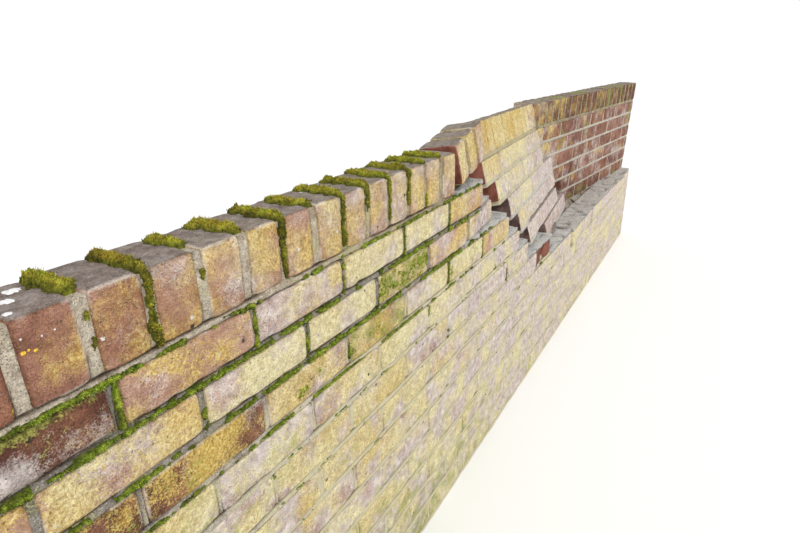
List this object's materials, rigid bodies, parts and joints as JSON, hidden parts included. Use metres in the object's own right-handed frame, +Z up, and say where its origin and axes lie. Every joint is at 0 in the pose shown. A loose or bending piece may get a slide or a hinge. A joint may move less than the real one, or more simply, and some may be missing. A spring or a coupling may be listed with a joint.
{
  "type": "brick garden wall",
  "caption": "Straight half-brick garden wall with a brick-on-edge coping, cracked in steps, its middle pushed back and tipped on the lower courses.",
  "frame": {"origin": "middle of the foot of the standing wall, on the level it rests on", "axes": "+X along the wall to the far end in the picture, +Y to the garden side, +Z up"},
  "size_m": [4.3549, 0.3202, 1.0845],
  "materials": {
    "brick": "weathered fired clay, with pale mortar joints, yellow lichen and moss",
    "coping_brick": "weathered fired clay with worn arrises, lichen and moss cushions",
    "clean_brick": "fired clay, little weathered, with cream mortar joints",
    "mortar": "broken mortar, pale grey and gritty"
  },
  "bodies": {
    "root": {"course_01": "brick", "course_02": "brick", "course_03": "brick", "course_04": "brick", "course_05": "brick", "course_06": "brick", "ledge_bricks": "brick", "near_course_07": "brick", "near_course_08": "brick", "near_course_09": "brick", "near_course_10": "brick", "near_course_11": "brick", "near_course_12": "brick", "near_coping": "coping_brick", "split_brick": "brick", "turned_brick": "brick", "loose_coping": "coping_brick", "tipped_course_07": "brick", "tipped_course_08": "brick", "tipped_course_09": "brick", "tipped_course_10": "brick", "tipped_course_11": "brick", "tipped_course_12": "brick", "tipped_coping": "coping_brick", "far_course_07": "clean_brick", "far_course_08": "clean_brick", "far_course_09": "clean_brick", "far_course_10": "clean_brick", "far_course_11": "clean_brick", "far_course_12": "clean_brick", "far_coping": "clean_brick", "broken_bed": "mortar", "rubble": "mortar"}
  },
  "joints": []
}
